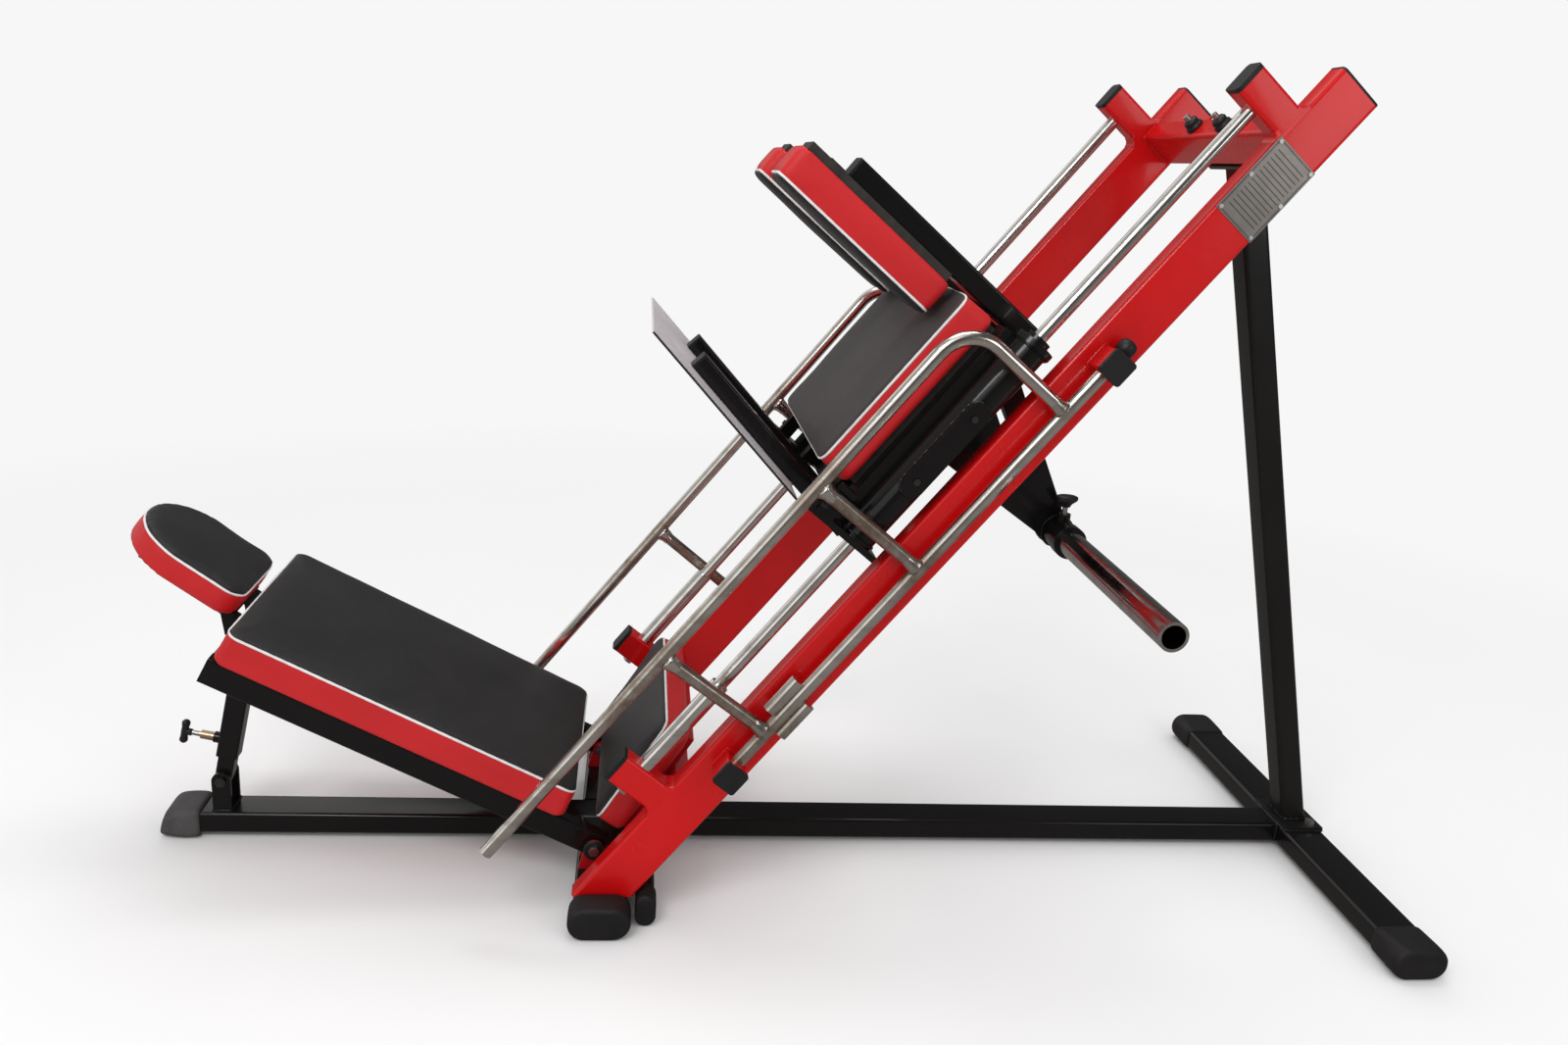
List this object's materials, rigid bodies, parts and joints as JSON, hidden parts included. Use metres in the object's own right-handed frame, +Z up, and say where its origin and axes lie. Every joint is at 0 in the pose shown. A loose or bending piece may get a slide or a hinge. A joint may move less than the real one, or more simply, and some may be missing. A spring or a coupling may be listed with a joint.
{
  "type": "combined leg press and hack squat machine",
  "caption": "Plate-loaded leg press and hack squat machine with inclined rails, sliding padded carriage, swing-out lock handles, plate horns and adjustable bench.",
  "frame": {"origin": "on the floor, under the middle of the machine's length and width", "axes": "+Z up, +X from the bench end towards the rear foot and upright, +Y across the machine, away from the side with the blank plate"},
  "size_m": [2.477, 1.367, 1.5931],
  "materials": {
    "red_paint": "gloss powder coat",
    "black_paint": "gloss powder coat",
    "chrome": "polished",
    "steel": "zinc plated",
    "plate_steel": "brushed",
    "black_rubber": "moulded, dull",
    "grey_rubber": "moulded, dull",
    "black_plastic": "moulded, satin",
    "bush_plastic": "turned nylon",
    "black_leather": "grained vinyl with red sides and white piping",
    "red_leather": "grained vinyl with a black face and white piping",
    "board": "black-stained plywood",
    "brass": "turned"
  },
  "bodies": {
    "frame": {"base_rail": "black_paint", "base_end_cap": "grey_rubber", "front_feet": "black_paint", "front_foot_caps": "black_rubber", "rear_foot": "black_paint", "rear_foot_caps": "black_rubber", "side_rails": "red_paint", "tube_plugs": "black_plastic", "rod_brackets": "red_paint", "guide_rods": "chrome", "rod_collars": "chrome", "crossbar": "red_paint", "crossbar_nuts": "black_plastic", "upright_post": "black_paint", "frame_bolts": "steel", "name_plate": "plate_steel", "plate_rivets": "steel", "handle_brackets": "red_paint", "handle_bracket_caps": "black_plastic", "hinge_ears": "red_paint", "hinge_bolts": "steel", "seat_bracket": "red_paint", "seat_pad": "black_leather", "strut_ears": "black_paint", "strut_bolt": "steel"},
    "carriage": {"bearing_sleeves": "black_paint", "guide_bushes": "bush_plastic", "catch_plates": "black_paint", "bush_plates": "black_paint", "bush_screws": "steel", "carriage_frame": "black_paint", "back_board": "board", "back_pad": "black_leather", "shoulder_arms": "black_paint", "shoulder_boards": "board", "shoulder_pads": "red_leather", "foot_plate": "plate_steel", "foot_plate_arms": "black_paint", "arm_plugs": "black_plastic", "horn_hangers": "black_paint", "horn_tube": "black_paint"},
    "near_plate_pipe": {"near_horn": "chrome"},
    "far_plate_pipe": {"far_horn": "chrome"},
    "near_clamp": {"near_clamp_screw": "steel", "near_clamp_knob": "black_plastic"},
    "far_clamp": {"far_clamp_screw": "steel", "far_clamp_knob": "black_plastic"},
    "near_handle": {"near_lock_handle": "chrome", "near_handle_cap": "black_plastic"},
    "far_handle": {"far_lock_handle": "chrome", "far_handle_cap": "black_plastic"},
    "bench": {"bench_frame": "black_paint", "bench_pad": "black_leather", "headrest_plate": "black_paint", "headrest_pad": "red_leather"},
    "strut_lower": {"strut_inner": "black_paint"},
    "strut_upper": {"strut_outer": "black_paint", "pin_housing": "brass"},
    "pin": {"pull_pin": "chrome", "pull_pin_handle": "black_plastic"}
  },
  "joints": [
    {"name": "carriage_slide", "type": "slide", "parent": "frame", "child": "carriage", "axis": [0.6088, 0, 0.7934], "range_m": [-0.345, 0.46]},
    {"name": "near_handle_swing", "type": "hinge", "parent": "frame", "child": "near_handle", "pos_m": [0.16426, -0.342, 0.717], "axis": [0.6088, 0, 0.7934], "range_deg": [-5, 30]},
    {"name": "far_handle_swing", "type": "hinge", "parent": "frame", "child": "far_handle", "pos_m": [0.16426, 0.342, 0.717], "axis": [-0.6088, 0, -0.7934], "range_deg": [-5, 30]},
    {"name": "bench_tilt", "type": "hinge", "parent": "frame", "child": "bench", "pos_m": [-0.36546, 0, 0.097], "axis": [0, 1, 0], "range_deg": [-2, 10]},
    {"name": "strut_swing", "type": "hinge", "parent": "frame", "child": "strut_lower", "pos_m": [-1.10546, 0, 0.12], "axis": [0, 1, 0], "range_deg": [-1.2, 5.6]},
    {"name": "strut_extend", "type": "slide", "parent": "strut_lower", "child": "strut_upper", "axis": [0.1985, 0, 0.9801], "range_m": [-0.026, 0.128]},
    {"name": "pull_pin_slide", "type": "slide", "parent": "strut_upper", "child": "pin", "axis": [-0.9801, 0, 0.1985], "range_m": [0, 0.012]},
    {"name": "near_pipe_slide", "type": "slide", "parent": "carriage", "child": "near_plate_pipe", "axis": [0, -1, 0], "range_m": [0, 0.12]},
    {"name": "far_pipe_slide", "type": "slide", "parent": "carriage", "child": "far_plate_pipe", "axis": [0, 1, 0], "range_m": [0, 0.12]},
    {"name": "near_clamp_turn", "type": "hinge", "parent": "carriage", "child": "near_clamp", "pos_m": [0.47687, -0.188, 0.75317], "axis": [0, 0, 1], "range_deg": [0, 360]},
    {"name": "far_clamp_turn", "type": "hinge", "parent": "carriage", "child": "far_clamp", "pos_m": [0.47687, 0.188, 0.75317], "axis": [0, 0, 1], "range_deg": [0, 360]}
  ],
  "couplings": [
    {"joint": "strut_swing", "follows": "bench_tilt", "ratio": 0.5406},
    {"joint": "strut_extend", "follows": "bench_tilt", "m_per_rad": 0.7246}
  ]
}
